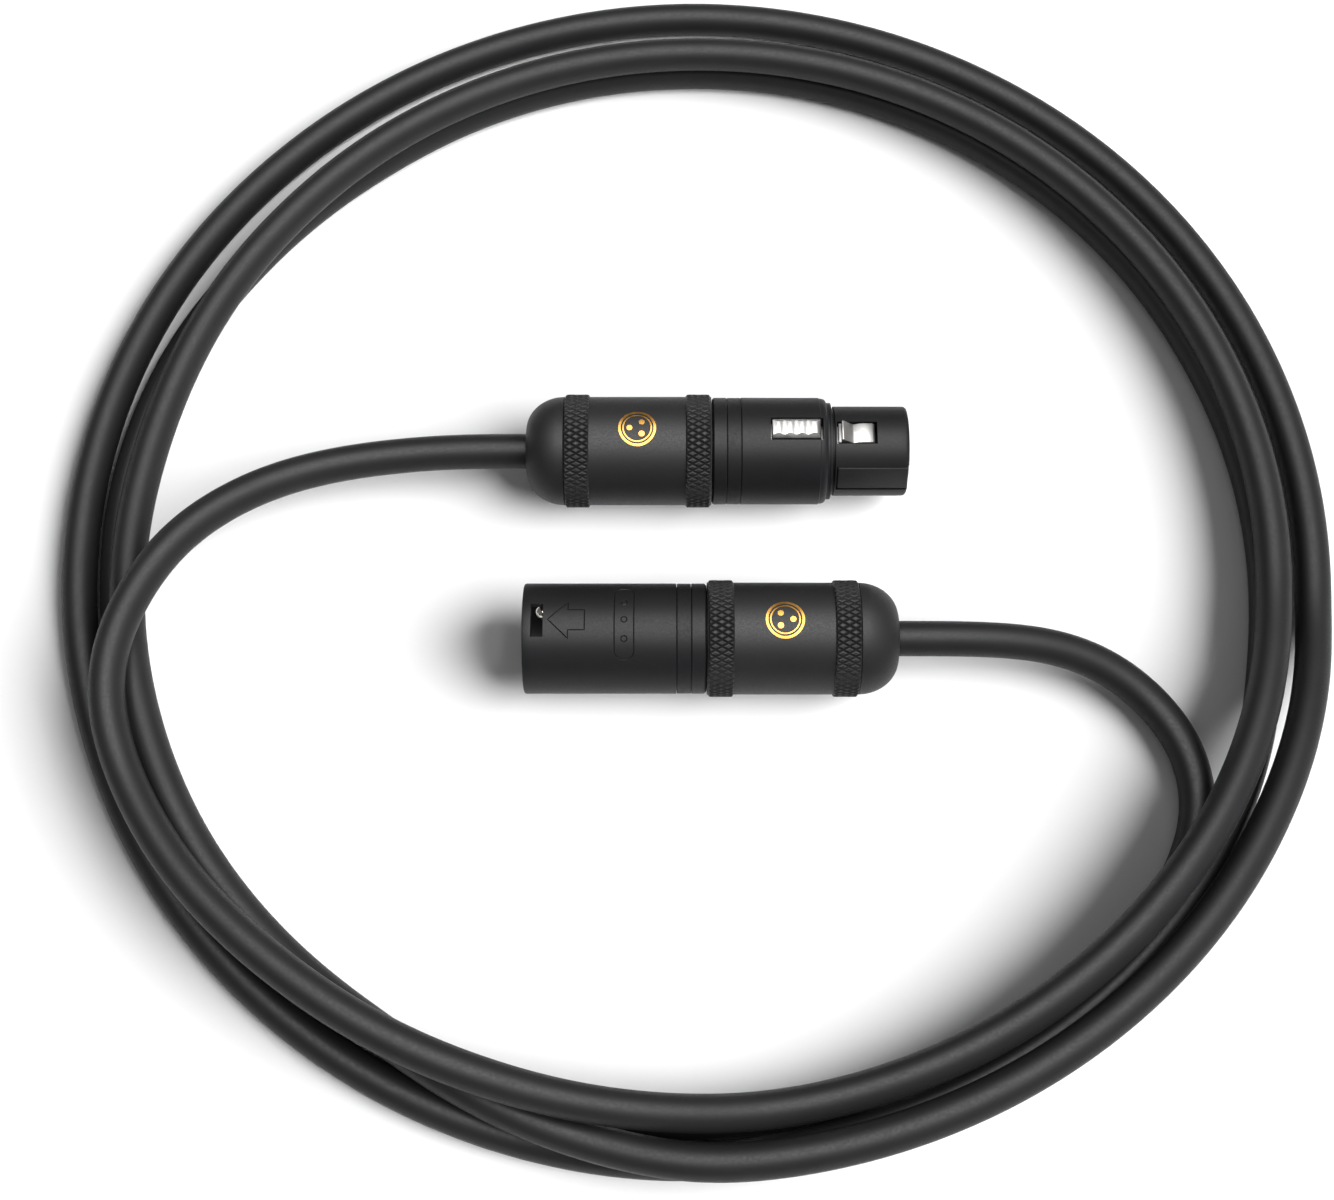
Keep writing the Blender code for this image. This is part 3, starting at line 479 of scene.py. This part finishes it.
def plated(name, bright, dull, roughness, grain, depth):
    """Bare or plated metal: it tarnishes a little in patches and keeps fine marks of its making."""
    material = moulded(name, dull, bright, roughness, grain, depth, 0.5)
    material.node_tree.nodes["Principled BSDF"].inputs["Metallic"].default_value = 1.0
    return material


# Hot-stamped gold foil: warm and bright, a shade browner where it lies away from the light
gold_foil = plated("gold_foil", "#c2924a", "#9c6f30", 0.36, 0.9, 0.004)
put_at_both(mark, "boot_mark", "boot", None, gold_foil)


# Chuck: grey nylon collet between the shell and the bushing. Its flange carries the nut's push,
# and its four slotted jaws close on the jacket, which they grip with small teeth.
def block(low, high, turn=0.0):
    """A block between two corners in millimetres, turned about the X axis by degrees."""
    low, high = Vector(low) * MM, Vector(high) * MM
    bpy.ops.object.select_all(action="DESELECT")
    bpy.ops.mesh.primitive_cube_add(size=1.0)
    tool = bpy.context.object
    tool.matrix_world = (
        Matrix.Rotation(math.radians(turn), 4, "X")
        @ Matrix.Translation((low + high) / 2.0)
        @ Matrix.Diagonal((*(high - low), 1.0)))
    bpy.ops.object.transform_apply(location=True, rotation=True, scale=True)
    return tool


outline = [(7.4, 3.4), (7.4, 7.2), (7.2, 7.4), (6.5, 7.4), (6.3, 7.2), (6.3, 5.8)]
outline += [(-10.1, 5.8), (-12.0, 4.9), (-12.1, 4.6), (-12.1, 3.4)]
for tooth in range(6):
    outline += [(-11.0 + 0.9 * tooth, 3.4), (-10.7 + 0.9 * tooth, 3.7), (-10.4 + 0.9 * tooth, 3.4)]
outline += [(7.4, 3.4)]
chuck = turned("chuck", outline, 72)
for turn in (7.0, 97.0):
    combined(chuck, block((-12.6, -0.5, -8.0), (-2.1, 0.5, 8.0), turn))
for turn in (52.0, 142.0, 232.0, 322.0):
    combined(chuck, block((1.5, -0.7, 5.25), (6.0, 0.7, 6.5), turn))
rounded(chuck, 0.07, 1, 40.0)
smooth(chuck)

# Unfilled nylon dyed grey: pale and even, faintly waxy
chuck_nylon = moulded("grey_nylon", "#5a5b5e", "#68696c", 0.48, 0.4, 0.01)
put_at_both(chuck, "chuck", "chuck", "chuck_plastic", chuck_nylon, "chuck")


# The cable's end inside each connector: the jacket is cut square, the copper screen's strands
# are combed back and twisted into one drain wire, and two insulated cores go on with it.
contact_circle = 4.6
contact_places = [
    (contact_circle * math.cos(math.radians(angle)), contact_circle * math.sin(math.radians(angle)))
    for angle in (25.0, 155.0, 270.0)]
jacket_end = turned("cable_end", [
    (-31.5, 2.3), (-31.5, 3.1), (6.05, 3.1), (6.2, 2.95), (6.2, 2.3), (-31.5, 2.3)], 64)
smooth(jacket_end)
put_at_both(jacket_end, "cable_end", None, "cable_jacket", cable_jacket, "cable_end")

strands = turned("screen", [(4.0, 0.0), (4.0, 2.2), (6.75, 2.2), (6.75, 0.0)], 96)
smooth(strands)
# Bare copper strand: reddish, darker where the air has dulled it
spiral_copper = plated("spiral_copper", "#b87450", "#8d5236", 0.38, 0.35, 0.05)
put_at_both(strands, "cable_screen", None, "drain_copper", spiral_copper)


def wire_line(number, side, first, last, offset=0.0, turns=0.0, phase=0.0):
    """Points of a wire from the cable to its contact, turned about that line if it's a strand."""
    far = contact_places[number]
    near = (1.4 * math.cos(math.radians(side)), 1.4 * math.sin(math.radians(side)))
    points = []
    for step in range(25):
        t = step / 24.0
        ease = t * t * (3.0 - 2.0 * t)
        swing = math.tau * turns * t + phase
        points.append((
            first + (last - first) * t,
            near[0] * (1.0 - ease) + far[0] * ease + offset * math.cos(swing),
            near[1] * (1.0 - ease) + far[1] * ease + offset * math.sin(swing)))
    return points


# Polyethylene insulation, coloured through: smooth and slightly glossy
core_insulation = {
    "core_hot": moulded("red_insulation", "#a5201c", "#b32a24", 0.36, 2.0, 0.01),
    "core_cold": moulded("white_insulation", "#dedcd4", "#ebe9e2", 0.36, 2.0, 0.01),
}
for number, side, core in ((1, 155.0, "core_hot"), (2, 270.0, "core_cold")):
    insulation = swept(core, wire_line(number, side, 6.8, 10.1), 0.68)
    smooth(insulation)
    slot = "core_red" if core == "core_hot" else "core_white"
    put_at_both(insulation, core, None, slot, core_insulation[core], core)
    bare = swept("bare", [(10.12, *contact_places[number]), (10.45, *contact_places[number])], 0.4)
    smooth(bare)
    put_at_both(bare, core + "_strands", None, "drain_copper", spiral_copper)

drain = swept("shield_drain", wire_line(0, 25.0, 6.8, 10.45), 0.24)
for strand in range(6):
    phase = math.tau * strand / 6.0
    lay_line = wire_line(0, 25.0, 6.8, 10.45, 0.45, 1.5, phase)
    one = swept("strand", lay_line, 0.2, 2)
    bpy.ops.object.select_all(action="DESELECT")
    one.select_set(True)
    drain.select_set(True)
    bpy.context.view_layer.objects.active = drain
    bpy.ops.object.join()
smooth(drain)
put_at_both(drain, "shield_drain", None, "drain_copper", spiral_copper, "shield_drain")


# Coding ring: a thin ring of matt black plastic, snapped into the shell's groove. Other
# colours of it mark which cable is which.
ring = turned("code_ring", [
    (2.6, 9.05), (2.6, 9.4), (2.68, 9.47), (4.92, 9.47), (5.0, 9.4), (5.0, 9.05), (2.6, 9.05)], 128)
smooth(ring)
# Matt moulded plastic, as dark as the shell beside it
ring_plastic = moulded("matt_ring_plastic", "#18181a", "#1d1d1e", 0.52, 0.5, 0.01, 0.17)
put_at_both(ring, "code_ring", None, "code_ring_plastic", ring_plastic, "code_ring")


# Female shell: die-cast zinc, machined at the nose, then coated satin black. The thread for
# the bushing is cut in its bore, and slots let the latch's button and tongue through.
def shell_rear():
    """The outside of either shell from the seam to the far side of the coding ring's groove."""
    return [(0.0, 9.2), (0.3, shell_radius), (2.42, shell_radius), (2.5, 9.42), (2.5, 8.9),
            (5.1, 8.9), (5.1, 9.42)]


def straight(start, stop, radius, step=1.1):
    """A straight stretch of an outline, with enough rings that what is cut in it stays crisp."""
    count = max(1, round(abs(stop - start) / step))
    return [(start + (stop - start) * k / count, radius) for k in range(count + 1)]


bore = [(8.0, 8.0), (0.5, 8.0), (0.0, 8.35)]
outline = shell_rear() + straight(5.18, 18.85, shell_radius) + [
    (18.95, 9.4), (19.4, 9.36), (19.75, 9.26), (20.0, 9.08), (20.15, 8.85), (20.2, 8.6),
    (20.55, 8.6), (20.6, 8.5), (20.66, 8.6), (20.95, 8.6), (21.0, 8.52), (21.0, 7.55),
    (21.5, 7.55), (21.5, 7.88)] + straight(21.57, 33.75, 7.95) + [
    (34.12, 7.88), (34.38, 7.68), (34.5, 7.4), (34.5, 7.12)] + straight(34.38, 19.0, 7.0) + [
    (19.0, 8.0)] + bore + [(0.0, 9.2)]
female_shell = turned("shell", outline, 360)
latch_half = 1.83
slot_half = latch_half + 0.3
combined(female_shell, block((10.1, -slot_half, 6.2), (19.35, slot_half, 19.0)))
combined(female_shell, block((21.8, -slot_half, 5.25), (28.85, slot_half, 19.0)))
combined(female_shell, swept("pin hole", [(8.98, -6.06, 6.2), (8.98, 6.06, 6.2)], 0.75))
combined(female_shell, block((21.8, -2.6, 6.3), (34.8, 2.6, 9.5), 65.0))
combined(female_shell, swept("groove", helix(-0.6, 5.4, 8.0, thread_pitch, -0.7), thread_depth, 0))
smooth(female_shell, 28.0)


# Baked satin black paint on die-cast zinc: even, faintly pebbled, with a low soft shine
satin_black_coat = moulded("satin_black_coat", "#18181a", "#1d1d1e", 0.5, 0.25, 0.006, 0.18)
put(female_shell, "female", "shell", "root", "shell_metal", satin_black_coat, "shell")
bpy.data.objects.remove(female_shell, do_unlink=True)


# Insert of the female connector: black glass-filled nylon, which holds the three contacts. Its
# face is level with the nose's rim, each hole has a lead-in, and the latch works in its channel.
# A raised pad of it fills most of the slot in the nose that the male shell's ridge runs in.
latch_floor = 3.17
insert = turned("insert", [
    (12.0, 0.0), (12.0, 7.7), (18.7, 7.7), (18.7, 6.7), (33.65, 6.7), (33.9, 6.45), (33.9, 5.9),
    (33.78, 5.8), (33.78, 5.6), (33.9, 5.5), (33.9, 0.0)], 96)
for across, up in contact_places:
    hole = turned("hole", [
        (11.5, 0.0), (11.5, 1.8), (33.0, 1.8), (33.0, 1.36), (33.55, 1.36), (33.95, 1.75),
        (34.5, 1.75), (34.5, 0.0)], 32, (across, up))
    combined(insert, hole)
combined(insert, block((11.0, -slot_half, latch_floor), (29.15, slot_half, 9.0)))
spring_place = 15.0
pocket = turned("pocket", [(-1.9, 0.0), (-1.9, 1.6), (1.0, 1.6), (1.0, 0.0)], 32)
pocket.data.transform(
    Matrix.Translation(Vector((spring_place, 0.0, latch_floor - 0.6)) * MM)
    @ Matrix.Rotation(-math.pi / 2.0, 4, "Y"))
combined(insert, pocket)
key_pad = block((21.9, -2.4, 5.5), (34.45, 2.4, 7.5), 65.0)
rounded(key_pad, 0.35, 3)
combined(insert, key_pad, "UNION")
rounded(insert, 0.06, 1, 40.0)
smooth(insert)
# Glass-filled nylon again, a touch lighter where the fibres show
insert_nylon = moulded("black_glass_nylon", "#1e1e1f", "#262627", 0.5, 0.35, 0.012)
put(insert, "female", "insert", "root", "insert_plastic", insert_nylon, "insert")
bpy.data.objects.remove(insert, do_unlink=True)


# Female contacts: turned brass sockets, silver plated, with two slits that spring on to a pin,
# and an open cup behind for the solder.
socket = turned("contact", [
    (12.2, 0.0), (12.2, 0.62), (10.7, 0.62), (10.7, 1.0), (10.8, 1.1), (13.2, 1.1), (13.2, 1.5),
    (32.5, 1.5), (32.7, 1.4), (32.7, 1.25), (20.0, 1.25), (19.6, 0.0)], 40)
combined(socket, block((10.4, -1.3, 0.25), (11.9, 1.3, 1.6)))
combined(socket, block((24.5, -0.13, -1.8), (33.0, 0.13, 1.8)))
rounded(socket, 0.04, 1, 50.0)
smooth(socket)
# Silver over brass: the whitest metal here, faintly clouded by tarnish
silver_plate = plated("silver_plate", "#d8d6cf", "#c4c2bb", 0.2, 1.5, 0.01)
for number, (across, up) in enumerate(contact_places, 1):
    contact = put(socket, "female", f"contact_{number}", "root", "contact_silver", silver_plate,
                  f"contact_{number}")
    contact.data.transform(Matrix.Translation((0.0, across * MM, up * MM)))
    solder = swept("solder", [(10.55, across, up), (11.0, across, up), (11.7, across, up)], 0.52)
    smooth(solder)
    put(solder, "female", f"solder_{number}", "root", None, silver_plate)
    bpy.data.objects.remove(solder, do_unlink=True)
bpy.data.objects.remove(socket, do_unlink=True)


# Latch of the female connector: a die-cast zinc lever, satin nickel plated. The thumb presses
# the ribbed button, the lever turns on its steel pin against a small spring, and the hook on its
# tongue comes out of the male shell's window.
pivot_along, pivot_up = 9.0, 6.2
button_top = 10.1
lever = [(8.85, pivot_up + 1.24)]
for step in range(13):
    t = math.radians(100.0 + 170.0 * step / 12.0)
    lever.append((pivot_along + 1.25 * math.cos(t), pivot_up + 1.25 * math.sin(t)))
lever += [(28.4, 4.95), (28.4, 7.3), (28.0, 7.62), (26.4, 7.66), (25.6, 7.55), (24.8, 7.22),
          (24.4, 7.4), (22.95, 8.68), (22.75, 8.75), (22.62, 8.68), (22.6, 7.6), (22.1, 7.5),
          (22.1, 6.34), (18.9, 6.34), (18.9, 8.75)]
for step in range(5):
    t = math.radians(90.0 * step / 4.0)
    lever.append((18.0 + 0.9 * math.cos(t), 8.8 + 1.25 * math.sin(t)))
rib_pitch, rib_depth = 2.05, 0.24
for step in range(1, 37):
    along = 17.9 - 7.1 * step / 36.0
    wave = 0.5 - 0.5 * math.cos(math.tau * (17.6 - along) / rib_pitch)
    lever.append((along, button_top - 0.05 - rib_depth * wave))
lever += [(10.4, button_top - 0.3), (10.4, 7.3)]
latch = drawn("latch", [(along, 0.0, up) for along, up in lever])
bpy.ops.mesh.select_all(action="SELECT")
bpy.ops.mesh.remove_doubles(threshold=0.002 * MM)
bpy.ops.mesh.select_all(action="SELECT")
bpy.ops.mesh.edge_face_add()
bpy.ops.transform.translate(value=(0.0, -latch_half * MM, 0.0))
bpy.ops.mesh.extrude_region_move(
    TRANSFORM_OT_translate={"value": (0.0, 2.0 * latch_half * MM, 0.0)})
bpy.ops.mesh.select_all(action="SELECT")
bpy.ops.mesh.normals_make_consistent(inside=False)
bpy.ops.object.mode_set(mode="OBJECT")
combined(latch, swept("eye", [(8.98, -3.0, pivot_up), (8.98, 3.0, pivot_up)], 0.72))
for lean in (-45.0, 45.0):
    combined(latch, block((10.0, -9.0, 7.9), (19.3, 9.0, 12.0), lean))
rounded(latch, 0.09, 2, 40.0)
smooth(latch, 40.0)
# Satin nickel on a casting: pale and soft, so light spreads over each rib
satin_nickel = plated("satin_nickel", "#b0afad", "#a5a4a2", 0.46, 1.2, 0.004)
put(latch, "female", "latch", "female_latch", "latch_nickel", satin_nickel, "latch")
bpy.data.objects.remove(latch, do_unlink=True)

pin = turned("latch_pin", [
    (-5.76, 0.0), (-5.76, 0.3), (-5.6, 0.45), (5.6, 0.45), (5.76, 0.3), (5.76, 0.0)], 32)
pin.data.transform(
    Matrix.Translation(Vector((pivot_along, 0.0, pivot_up)) * MM)
    @ Matrix.Rotation(math.pi / 2.0, 4, "Z"))
smooth(pin)
# Drawn steel wire and rod: grey and bright, slightly clouded
spring_steel = plated("spring_steel", "#a9a9aa", "#8f8f91", 0.3, 0.6, 0.02)
put(pin, "female", "latch_pin", "root", "spring_steel", spring_steel, "latch_pin")
bpy.data.objects.remove(pin, do_unlink=True)

coils, wire_radius, spring_radius = 5, 0.2, 1.1
spring_low, spring_high = 1.18, 4.45
points = []
for step in range(coils * 20 + 1):
    t = step / 20.0
    free = min(max(t - 0.75, 0.0), coils - 1.5)
    up = spring_low + (spring_high - spring_low) * free / (coils - 1.5)
    points.append((
        spring_place + spring_radius * math.cos(math.tau * t),
        spring_radius * math.sin(math.tau * t), up + 0.12 * min(t, 0.75) - 0.09))
coil_spring = swept("latch_spring", points, wire_radius, 2)
smooth(coil_spring)
spring = put(
    coil_spring, "female", "latch_spring", "root", "spring_steel", spring_steel, "latch_spring")
bpy.data.objects.remove(coil_spring, do_unlink=True)
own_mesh(spring)


# Male shell: the same coated zinc, turned out to a cup that goes over a female nose. A window
# near its mouth takes the latch's hook, and a ridge inside keeps the plug the right way up.
male_length = 31.2
outline = shell_rear() + straight(5.18, male_length - 0.35, shell_radius) + [
    (male_length - 0.1, 9.4), (male_length, 9.2), (male_length, 8.75),
    (male_length - 0.12, 8.6)] + straight(male_length - 0.6, 12.0, 8.25) + [
    (12.0, 7.4), (11.0, 7.4), (11.0, 8.0)] + bore + [(0.0, 9.2)]
male_shell = turned("shell", outline, 360)
combined(male_shell, block((17.1, -2.0, 7.75), (30.3, 2.0, 8.9), -65.0), "UNION")
combined(male_shell, block((27.6, -2.95, 5.0), (29.7, 2.95, 12.0)))
combined(male_shell, swept("groove", helix(-0.6, 5.4, 8.0, thread_pitch, -0.7), thread_depth, 0))


def engraved(name, points):
    """A shallow line cut in a shell, through (along, degrees from the top) points."""
    return swept(name, [
        (along, (shell_radius + 0.03) * math.sin(math.radians(turn)),
         (shell_radius + 0.03) * math.cos(math.radians(turn)))
        for along, turn in points], 0.14, 0, True)


oval = []
for side in (1.0, -1.0):
    for step in range(17):
        t = math.pi * step / 16.0
        oval.append((13.95 + 1.65 * side * math.cos(t), side * (32.0 + 10.0 * math.sin(t))))
    oval += [(13.95 - 1.65 * side, side * turn) for turn in range(28, -32, -4)]
combined(male_shell, engraved("oval", oval))
for turn in (-20.0, 0.0, 20.0):
    combined(male_shell, engraved("dot", [
        (13.95 + 0.5 * math.cos(math.tau * k / 16.0), turn + 3.0 * math.sin(math.tau * k / 16.0))
        for k in range(16)]))
arrow = [(20.6, -11.0), (20.6, 11.0), (23.4, 11.0), (23.4, 20.0), (26.8, 0.0), (23.4, -20.0),
         (23.4, -11.0), (20.6, -11.0)]
fine_arrow = []
for (a, b), (c, d) in zip(arrow, arrow[1:]):
    fine_arrow += [(a + (c - a) * k / 6.0, b + (d - b) * k / 6.0) for k in range(6)]
combined(male_shell, engraved("arrow", fine_arrow))
smooth(male_shell, 28.0)
put(male_shell, "male", "shell", "root", "shell_metal", satin_black_coat, "shell")
bpy.data.objects.remove(male_shell, do_unlink=True)


# Insert of the male connector: a black nylon disc that holds the three pins at the foot of the
# cup, pressed against the shell's inner rib.
disc = turned("insert", [
    (12.3, 0.0), (12.3, 7.75), (12.5, 7.95), (16.5, 7.95), (16.8, 7.65), (16.8, 7.0), (16.65, 6.9),
    (16.65, 6.7), (16.8, 6.6), (16.8, 0.0)], 96)
for across, up in contact_places:
    combined(disc, turned("hole", [
        (11.0, 0.0), (11.0, 1.48), (16.55, 1.48), (16.85, 1.75), (18.0, 1.75), (18.0, 0.0)],
        32, (across, up)))
smooth(disc)
put(disc, "male", "insert", "root", "insert_plastic", insert_nylon, "insert")
bpy.data.objects.remove(disc, do_unlink=True)


# Male pins: turned brass, silver plated, with rounded tips and the same solder cups.
pin_radius = 1.18
pin_tip = male_length - 1.9
outline = [(12.2, 0.0), (12.2, 0.62), (10.7, 0.62), (10.7, 1.08), (10.8, pin_radius),
           (pin_tip - 1.3, pin_radius)]
for step in range(1, 11):
    t = math.radians(90.0 * step / 10.0)
    outline.append((pin_tip - 1.3 + 1.3 * math.sin(t), pin_radius * math.cos(t)))
outline[-1] = (pin_tip, 0.0)
pin = turned("pin", outline, 40)
combined(pin, block((10.4, -1.3, 0.25), (11.9, 1.3, 1.6)))
rounded(pin, 0.04, 1, 50.0)
smooth(pin)
for number, (across, up) in enumerate(contact_places, 1):
    fitted = put(pin, "male", f"pin_{number}", "root", "contact_silver", silver_plate,
                 f"pin_{number}")
    fitted.data.transform(Matrix.Translation((0.0, -across * MM, up * MM)))
    solder = swept("solder", [(10.55, across, up), (11.0, across, up), (11.7, across, up)], 0.52)
    smooth(solder)
    put(solder, "male", f"solder_{number}", "root", None, silver_plate)
    bpy.data.objects.remove(solder, do_unlink=True)
bpy.data.objects.remove(pin, do_unlink=True)


# The table under it, the lights and the camera, which aren't part of the cable.
bpy.ops.object.select_all(action="DESELECT")
bpy.ops.mesh.primitive_plane_add(size=6.0, location=(0.0, 0.0, -0.05 * MM))
table = bpy.context.object
table.name = "table"
paper = bpy.data.materials.new("white_paper")
paper.use_nodes = True
paper_shader = paper.node_tree.nodes["Principled BSDF"]
paper_shader.inputs["Base Color"].default_value = (0.9, 0.9, 0.9, 1.0)
paper_shader.inputs["Roughness"].default_value = 0.9
paper_shader.inputs["Specular IOR Level"].default_value = 0.1
table.data.materials.append(paper)


# One broad key from the right gives the light and the shadows, and a soft box above gives the gloss
key_from = Vector((0.73, -0.15, 0.68))
key_lamp = bpy.data.lights.new("key", "SUN")
key_lamp.energy = 5.9
key_lamp.angle = math.radians(52.0)
key = bpy.data.objects.new("key", key_lamp)
key.rotation_euler = (-key_from).to_track_quat("-Z", "Y").to_euler()
key.visible_glossy = False
bpy.context.collection.objects.link(key)

sheen_place = Vector((0.0, 0.06, 1.1))
sheen_lamp = bpy.data.lights.new("sheen", "AREA")
sheen_lamp.size = 1.0
sheen_lamp.energy = 30.0
sheen = bpy.data.objects.new("sheen", sheen_lamp)
sheen.location = sheen_place
sheen.rotation_euler = (-sheen_place).to_track_quat("-Z", "Y").to_euler()
sheen.visible_diffuse = False
bpy.context.collection.objects.link(sheen)

world = bpy.data.worlds.new("room")
world.use_nodes = True
world.node_tree.nodes["Background"].inputs["Color"].default_value = (1.0, 1.0, 1.0, 1.0)
world.node_tree.nodes["Background"].inputs["Strength"].default_value = 0.18
bpy.context.scene.world = world
bpy.context.scene.view_settings.view_transform = "Standard"

camera_target = Vector((-8.75, -6.8, 0.0)) * MM
camera_tilt = math.radians(21.0)
camera_distance = 367.8 * MM
camera_data = bpy.data.cameras.new("camera")
camera_data.lens = 55.47
camera_data.sensor_width = 36.0
camera = bpy.data.objects.new("camera", camera_data)
camera.rotation_euler = (camera_tilt, 0.0, 0.0)
camera.location = camera_target + camera_distance * Vector(
    (0.0, -math.sin(camera_tilt), math.cos(camera_tilt)))
bpy.context.collection.objects.link(camera)
bpy.context.scene.camera = camera
